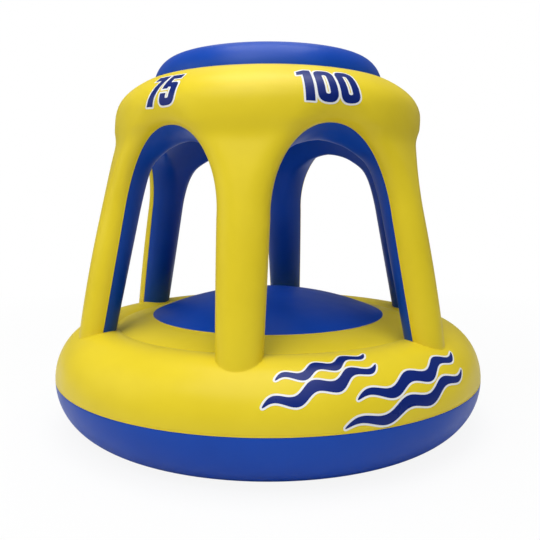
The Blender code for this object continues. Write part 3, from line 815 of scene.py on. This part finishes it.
def flattened(thing, spot, out):
    """Draw the sheet flat where a valve is welded to it."""
    for vertex in thing.data.vertices:
        offset = vertex.co - spot
        height = offset.dot(out)
        across = (offset - out * height).length
        if abs(height) > VALVE_BLEND_RADIUS or across > VALVE_BLEND_RADIUS:
            continue
        share = (across - VALVE_FLAT_RADIUS) / (VALVE_BLEND_RADIUS - VALVE_FLAT_RADIUS)
        share = min(max(share, 0.0), 1.0)
        weight = 1.0 - share * share * (3.0 - 2.0 * share)
        vertex.co -= out * (height + VALVE_SEAT_CLEARANCE) * weight


def holed(thing, spot, out):
    """Cut the valve's hole through a finished sheet."""
    mesh = bmesh.new()
    turn = out.to_track_quat("Z", "Y").to_matrix().to_4x4()
    bmesh.ops.create_cone(mesh, cap_ends=True, segments=HOLE_SIDES, radius1=VALVE_HOLE_RADIUS,
                          radius2=VALVE_HOLE_RADIUS, depth=VALVE_CUTTER_DEPTH,
                          matrix=Matrix.Translation(spot) @ turn)
    cutter = object_from("valve_hole", mesh)
    modifier = thing.modifiers.new("hole", "BOOLEAN")
    modifier.operation = "DIFFERENCE"
    modifier.solver = "EXACT"
    modifier.object = cutter
    baked(thing)
    data = cutter.data
    bpy.data.objects.remove(cutter)
    bpy.data.meshes.remove(data)


def sheet_piece(thing, valve, look, *nodes):
    """Make an open surface a thick sheet in place of its nodes, with its valve's hole if any."""
    if valve:
        flattened(thing, *valve)
    modifier = thing.modifiers.new("sheet", "SOLIDIFY")
    modifier.thickness = SHEET
    modifier.offset = -1.0
    modifier.use_even_offset = True
    baked(thing)
    finish_piece(thing, look, *nodes)
    if valve:
        holed(thing, *valve)


# Weld beads


def swept_bead(mesh, path, closed, reference):
    """A thin round bead along a path; the reference direction keeps its rings from turning."""
    rings = []
    for i, spot in enumerate(path):
        before = path[i - 1] if closed or i else spot
        after = path[(i + 1) % len(path)] if closed or i + 1 < len(path) else spot
        along = (after - before).normalized()
        towards = reference(spot)
        side = (towards - along * towards.dot(along)).normalized()
        across = along.cross(side)
        ring = []
        for k in range(BEAD_SIDES):
            turn = math.tau * k / BEAD_SIDES
            outwards = side * math.cos(turn) + across * math.sin(turn)
            ring.append(mesh.verts.new(spot + outwards * BEAD_RADIUS))
        rings.append(ring)
    pairs = list(zip(rings, rings[1:]))
    if closed:
        pairs.append((rings[-1], rings[0]))
    else:
        mesh.faces.new(rings[0])
        mesh.faces.new(rings[-1])
    for low, high in pairs:
        for k in range(BEAD_SIDES):
            following = (k + 1) % BEAD_SIDES
            mesh.faces.new((low[k], low[following], high[following], high[k]))


def away_from_axis(spot):
    return Vector((spot.x, spot.y, 0.0)).normalized()


def upwards(_):
    return Vector((0.0, 0.0, 1.0))


def bead_piece(name, paths, closed, reference, look):
    mesh = bmesh.new()
    for path in paths:
        swept_bead(mesh, path, closed, reference)
    bead = object_from(name, mesh)
    bead.data.shade_smooth()
    finish_piece(bead, look)


def arch_path(leg):
    """The weld round one arch, from one leg's foot over to the next leg's."""
    line = seam_line()
    line[0] = (line[0][0], foot_station(OuterSheet, 0.0))
    first = [place(leg_azimuth(leg) + angle, seam_radius(height), height)
             for angle, height in line]
    second = [place(leg_azimuth(leg + 1) - angle, seam_radius(height), height)
              for angle, height in line]
    return first + second[-2::-1]


def foot_outline():
    """One leg's foot as (angle from the leg, radius), where both sheets meet the ring."""
    outer = sheet_rows(OuterSheet)[0]
    inner = sheet_rows(InnerSheet)[0]
    path = [(angle, radius) for angle, radius, _ in outer]
    path += [(-angle, radius) for angle, radius, _ in outer[-2::-1]]
    path += [(-angle, radius) for angle, radius, _ in inner[1:]]
    return path + [(angle, radius) for angle, radius, _ in inner[-2:0:-1]]


def foot_path(leg, outline):
    return [place(leg_azimuth(leg) + angle, radius, ring_top(radius)) for angle, radius in outline]


# Prints


def offset_corners(corners, distance):
    """A loop of (x, y, radius) corners, run with its ink on the left, grown on its right side."""
    count = len(corners)
    grown = []
    for i, (x, y, radius) in enumerate(corners):
        spot = Vector((x, y))
        before = (spot - Vector(corners[i - 1][:2])).normalized()
        after = (Vector(corners[(i + 1) % count][:2]) - spot).normalized()
        right_before = Vector((before.y, -before.x))
        right_after = Vector((after.y, -after.x))
        turn = before.x * after.y - before.y * after.x
        miter = (right_before + right_after) / (1.0 + right_before.dot(right_after))
        moved = spot + miter * distance
        rounding = radius + distance if turn > 0.0 else max(radius - distance, 0.0)
        grown.append((moved.x, moved.y, rounding))
    return grown


def rounded_loop(corners):
    """The loop's points, with a short curve at each corner that has a radius."""
    count = len(corners)
    points = []
    for i, (x, y, radius) in enumerate(corners):
        spot = Vector((x, y))
        back = Vector(corners[i - 1][:2]) - spot
        ahead = Vector(corners[(i + 1) % count][:2]) - spot
        half = back.angle(ahead) / 2
        reach = min(radius / math.tan(half), LONGEST_CORNER_SHARE * back.length,
                    LONGEST_CORNER_SHARE * ahead.length)
        if reach < SHORTEST_CORNER:
            points.append(spot)
            continue
        start = spot + back.normalized() * reach
        end = spot + ahead.normalized() * reach
        for k in range(CORNER_STEPS + 1):
            t = k / CORNER_STEPS
            points.append(start * (1.0 - t) ** 2 + spot * (2 * t * (1.0 - t)) + end * t * t)
    return points


def conformed(name, loops, surface, lift, look):
    """Fill flat loops, cut them into small cells and lay them on a surface."""
    mesh = bmesh.new()
    edges = []
    for loop in loops:
        corners = [mesh.verts.new((point.x, point.y, 0.0)) for point in loop]
        following = corners[1:] + corners[:1]
        edges += [mesh.edges.new(pair) for pair in zip(corners, following)]
    bmesh.ops.triangle_fill(mesh, use_beauty=True, use_dissolve=False, edges=edges)
    for axis, normal in enumerate((Vector((1.0, 0.0, 0.0)), Vector((0.0, 1.0, 0.0)))):
        low = min(vertex.co[axis] for vertex in mesh.verts)
        high = max(vertex.co[axis] for vertex in mesh.verts)
        for i in range(1, int((high - low) / PRINT_CELL) + 1):
            everything = mesh.verts[:] + mesh.edges[:] + mesh.faces[:]
            bmesh.ops.bisect_plane(mesh, geom=everything, dist=CUT_REACH,
                                   plane_co=normal * (low + i * PRINT_CELL), plane_no=normal)
    bmesh.ops.remove_doubles(mesh, verts=mesh.verts, dist=MERGE)
    for vertex in mesh.verts:
        x, y = vertex.co.x, vertex.co.y
        across = surface(x + SURFACE_STEP, y) - surface(x - SURFACE_STEP, y)
        along = surface(x, y + SURFACE_STEP) - surface(x, y - SURFACE_STEP)
        vertex.co = surface(x, y) + across.cross(along).normalized() * lift
    print_piece = object_from(name, mesh)
    outside = print_piece.data.polygons[0].center * 2
    turn_faces(print_piece, outside)
    print_piece.data.shade_smooth()
    finish_piece(print_piece, look)


OUTER_CHAIN = seam_chain(OuterSheet)


def tower_place(azimuth, station):
    """A place on the tower's outer sheet."""
    angle = (azimuth - leg_azimuth(0)) % (2 * half_bay())
    angle = min(angle, 2 * half_bay() - angle)
    rounding = swell_share(flat_place(angle, station, OuterSheet), OUTER_CHAIN)
    point = sheet_point(OuterSheet, station, rounding)
    return place(azimuth, point.x, point.y)


def shoulder_surface(azimuth):
    """A flat patch over one arch: x runs round the tower and y up its shoulder, in metres."""
    rise = OuterSheet.end() - arch_top_height()
    stations = [arch_top_height() + rise * i / SHOULDER_STEPS
                for i in range(1, SHOULDER_STEPS + 1)]
    spots = [tower_place(azimuth, station) for station in stations]
    lengths = [0.0]
    for low, high in zip(spots, spots[1:]):
        lengths.append(lengths[-1] + (high - low).length)
    centre = min(range(SHOULDER_STEPS), key=lambda i: abs(stations[i] - NUMBER_STATION))
    radius = Vector(spots[centre][:2]).length

    def surface(x, y):
        wanted = lengths[centre] + y
        i = 0
        while i < SHOULDER_STEPS - 2 and lengths[i + 1] < wanted:
            i += 1
        share = (wanted - lengths[i]) / (lengths[i + 1] - lengths[i])
        station = stations[i] + (stations[i + 1] - stations[i]) * share
        return tower_place(azimuth + math.degrees(x / radius), station)

    return surface


def ring_surface(azimuth, angle, turn):
    """A flat patch on the ring's outer side, turned so that its x axis climbs."""
    radius = ring_point(angle).x
    tube_radius = (TUBE_HALF_WIDTH + TUBE_RISE) / 2
    cos, sin = math.cos(math.radians(turn)), math.sin(math.radians(turn))

    def surface(x, y):
        level, up = x * cos - y * sin, x * sin + y * cos
        point = ring_point(angle + math.degrees(up / tube_radius))
        return place(azimuth + math.degrees(level / radius), point.x, point.y)

    return surface


def digit_loops(text, width_share, outline):
    """The digits' outlines, side by side and centred, in metres."""
    widths = [max(x for x, _, _ in DIGIT_SHARES[digit][0]) for digit in text]
    left = -(sum(widths) + NUMBER_GAP_SHARE * (len(text) - 1)) / 2
    loops = []
    for digit, width in zip(text, widths):
        for corners in DIGIT_SHARES[digit]:
            placed = [((left + x) * NUMBER_HEIGHT * width_share, (y - 0.5) * NUMBER_HEIGHT,
                       radius * NUMBER_HEIGHT * width_share) for x, y, radius in corners]
            loops.append(rounded_loop(offset_corners(placed, outline)))
        left += width + NUMBER_GAP_SHARE
    return loops


def number_print(text, azimuth, width_share, white, ink):
    """A number over an arch, each digit in ink with a white outline."""
    surface = shoulder_surface(azimuth)
    outlines = digit_loops(text, width_share, NUMBER_OUTLINE)
    figures = digit_loops(text, width_share, 0.0)
    first = 0
    for i, digit in enumerate(text):
        last = first + len(DIGIT_SHARES[digit])
        name = f"number_{text}_{i + 1}"
        conformed(name + "_outline", outlines[first:last], surface, OUTLINE_LIFT, white)
        conformed(name + "_ink", figures[first:last], surface, INK_LIFT, ink)
        first = last


def wave_loop(length, height, swing, crests):
    """A wavy stripe with rounded ends, as one closed loop."""
    upper = []
    lower = []
    steps = WAVE_STEPS * crests
    for i in range(steps + 1):
        share = (1.0 - math.cos(math.pi * i / steps)) / 2
        x = (share - 0.5) * length
        y = swing * math.sin(math.tau * crests * share)
        half = height / 2 * math.sqrt(math.sin(math.pi * share))
        upper.append(Vector((x, y + half)))
        if 0 < i < steps:
            lower.append(Vector((x, y - half)))
    return upper[::-1] + lower


def grown_loop(loop, distance):
    """A smooth loop, run with its inside on the left, moved out along its normals."""
    grown = []
    for i, point in enumerate(loop):
        along = (loop[(i + 1) % len(loop)] - loop[i - 1]).normalized()
        grown.append(point + Vector((along.y, -along.x)) * distance)
    return grown


def wave_print(number, azimuth, angle, turn, length, height, white, ink):
    """A wavy stripe on the ring, in ink with a white outline."""
    surface = ring_surface(azimuth, angle, turn)
    name = f"ring_wave_{number}"
    stripe = wave_loop(length, height, height * WAVE_SWING_SHARE, WAVE_CRESTS)
    outline = grown_loop(stripe, WAVE_OUTLINE)
    conformed(name + "_outline", [outline], surface, OUTLINE_LIFT, white)
    conformed(name + "_ink", [stripe], surface, INK_LIFT, ink)


# Studio


def add_camera():
    data = bpy.data.cameras.new("camera")
    data.lens = LENS
    data.sensor_width = SENSOR
    data.shift_x = SHIFT_X
    camera = bpy.data.objects.new("camera", data)
    bpy.context.scene.collection.objects.link(camera)
    tilt = Euler((math.radians(90.0 - CAMERA_TILT), 0.0, 0.0)).to_matrix().to_4x4()
    camera.matrix_world = (Matrix.Rotation(math.radians(CAMERA_TURN), 4, "Z")
                           @ Matrix.Translation((0.0, -CAMERA_DISTANCE, CAMERA_HEIGHT)) @ tilt)
    bpy.context.scene.camera = camera


def add_lamp(name, azimuth, distance, height, size, power):
    """A square soft lamp, aimed at the middle of the hoop."""
    data = bpy.data.lights.new(name, "AREA")
    data.shape = "SQUARE"
    data.size = size
    data.energy = power
    lamp = bpy.data.objects.new(name, data)
    bpy.context.scene.collection.objects.link(lamp)
    lamp.location = place(leg_azimuth(0) + CAMERA_TURN + azimuth, distance, height)
    towards = Vector((0.0, 0.0, LAMP_AIM_HEIGHT)) - lamp.location
    lamp.rotation_euler = towards.to_track_quat("-Z", "Y").to_euler()


def add_floor():
    """A pale floor; the camera sees it nearly white, with a faint shadow, and white further out."""
    mesh = bmesh.new()
    bmesh.ops.create_circle(mesh, cap_ends=True, segments=FLOOR_SIDES, radius=FLOOR_RADIUS)
    floor = object_from("studio_floor", mesh)
    turn_faces(floor, ABOVE)
    material, tree, shader = new_material("studio_floor")
    shader.inputs["Base Color"].default_value = FLOOR_COLOUR
    shader.inputs["Roughness"].default_value = FLOOR_ROUGHNESS
    shader.inputs["Specular IOR Level"].default_value = 0.0
    light_path = add_node(tree, "ShaderNodeLightPath")
    glow = add_node(tree, "ShaderNodeEmission")
    blend = add_node(tree, "ShaderNodeMixShader")
    coords = add_node(tree, "ShaderNodeTexCoord")
    away = add_node(tree, "ShaderNodeVectorMath", operation="LENGTH")
    tree.links.new(coords.outputs["Object"], away.inputs[0])
    whiteness = value_between(tree, away.outputs["Value"], WHITE_FLOOR_SHARE, 1.0,
                              WHITE_FLOOR_SPAN)
    scale = add_node(tree, "ShaderNodeMath", operation="MULTIPLY")
    tree.links.new(light_path.outputs["Is Camera Ray"], scale.inputs[0])
    tree.links.new(whiteness, scale.inputs[1])
    tree.links.new(scale.outputs[0], blend.inputs[0])
    tree.links.new(shader.outputs[0], blend.inputs[1])
    tree.links.new(glow.outputs[0], blend.inputs[2])
    tree.links.new(blend.outputs[0], tree.nodes["Material Output"].inputs["Surface"])
    floor.data.materials.append(material)


def add_world():
    """White to the camera, a dim white studio in reflections, and a faint cool light elsewhere."""
    world = bpy.data.worlds.new("studio")
    world.use_nodes = True
    tree = world.node_tree
    soft = tree.nodes["Background"]
    soft.inputs["Color"].default_value = SKY_COLOUR
    soft.inputs["Strength"].default_value = SKY_STRENGTH
    white = add_node(tree, "ShaderNodeBackground")
    white.inputs["Color"].default_value = (1.0, 1.0, 1.0, 1.0)
    light_path = add_node(tree, "ShaderNodeLightPath")
    mirrored = add_node(tree, "ShaderNodeMath", operation="MULTIPLY_ADD", use_clamp=True)
    mirrored.inputs[1].default_value = REFLECTED_STUDIO_SHARE
    blend = add_node(tree, "ShaderNodeMixShader")
    tree.links.new(light_path.outputs["Is Glossy Ray"], mirrored.inputs[0])
    tree.links.new(light_path.outputs["Is Camera Ray"], mirrored.inputs[2])
    tree.links.new(mirrored.outputs[0], blend.inputs[0])
    tree.links.new(soft.outputs[0], blend.inputs[1])
    tree.links.new(white.outputs[0], blend.inputs[2])
    tree.links.new(blend.outputs[0], tree.nodes["World Output"].inputs["Surface"])
    bpy.context.scene.world = world


# The scene

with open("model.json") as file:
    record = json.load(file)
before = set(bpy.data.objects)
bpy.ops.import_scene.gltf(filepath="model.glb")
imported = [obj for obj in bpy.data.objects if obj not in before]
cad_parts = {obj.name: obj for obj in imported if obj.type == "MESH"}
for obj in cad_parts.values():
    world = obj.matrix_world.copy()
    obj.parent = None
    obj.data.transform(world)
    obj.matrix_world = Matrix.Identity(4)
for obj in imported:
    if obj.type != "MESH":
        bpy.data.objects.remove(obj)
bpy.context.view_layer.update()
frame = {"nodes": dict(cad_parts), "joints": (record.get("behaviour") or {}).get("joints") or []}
nodes = frame["nodes"]

# Each look is a material and its slot in the part
yellow = (vinyl("yellow_sheet", YELLOW), "yellow_vinyl")
blue = (vinyl("blue_sheet", BLUE), "blue_vinyl")
ink = (vinyl("navy_print", NAVY), "blue_vinyl")
white = (vinyl("white_print", WHITE), "yellow_vinyl")
milky = (soft_plastic("valve_plastic", PLASTIC), "clear_vinyl")

valves = valve_places(frame["joints"])

ring_top_profile = ends_tucked(refined(base_top_profile()), last=False)
ring_top_skin = turned("ring_top_skin", ring_top_profile, OUTSIDE)
sheet_piece(ring_top_skin, valves["ring_valve"], yellow, "base_top_sheet")

ring_bottom_profile = ends_tucked(refined(base_bottom_profile()), first=False)
ring_bottom_skin = turned("ring_bottom_skin", ring_bottom_profile, BELOW)
sheet_piece(ring_bottom_skin, None, blue, "base_bottom_sheet")

flank_skin = turned("cushion_flank_skin", flank_profile(), ABOVE)
sheet_piece(flank_skin, None, yellow, "cushion_flank")

cap_skin = turned("cushion_cap_skin", cap_profile(), ABOVE)
sheet_piece(cap_skin, None, blue, "cushion_cap")

floor_skin = turned("cushion_floor_skin", floor_profile(), BELOW)
sheet_piece(floor_skin, valves["cushion_valve"], blue, "cushion_floor")

outer_skin = tower_sheet("tower_outer_skin", OuterSheet)
sheet_piece(outer_skin, valves["tower_valve"], yellow, "tower_outer_front", "tower_outer_back")

inner_skin = tower_sheet("tower_inner_skin", InnerSheet)
sheet_piece(inner_skin, None, blue, "tower_inner_front", "tower_inner_back")

rim_skin = turned("rim_skin", rim_profile(), OUTSIDE)
sheet_piece(rim_skin, None, blue, "rim_sheet")

ring_weld_path = round_path(RING_RADIUS + TUBE_HALF_WIDTH - BEAD_RADIUS, TUBE_DROP)
arch_paths = [arch_path(leg) for leg in range(LEGS)]
foot = foot_outline()
foot_paths = [foot_path(leg, foot) for leg in range(LEGS)]
bead_piece("ring_weld", [ring_weld_path], True, upwards, yellow)
bead_piece("cushion_weld", [round_path(*cap_edge())], True, upwards, yellow)
bead_piece("arch_welds", arch_paths, False, away_from_axis, yellow)
bead_piece("foot_welds", foot_paths, True, upwards, yellow)

for text, azimuth, width_share in NUMBERS:
    number_print(text, azimuth, width_share, white, ink)
for i, wave in enumerate(WAVES):
    wave_print(i + 1, *wave, white, ink)

for name, node in nodes.items():
    material, _ = blue
    if "_valve_" in name:
        material, _ = milky
    elif name.startswith("leg_foot_patch") or name in ("base_top_sheet", "cushion_flank"):
        material, _ = yellow
    for slot in node.material_slots:
        slot.material = material

for valve in VALVES:
    for part in VALVE_PARTS:
        name = f"{valve}_{part}"
        body = "hoop" if part == "seat" else name
        smooth_copy(nodes[name], body, milky)

bpy.context.scene.view_settings.view_transform = "Standard"
add_camera()
add_world()
add_floor()
for lamp in LAMPS:
    add_lamp(*lamp)
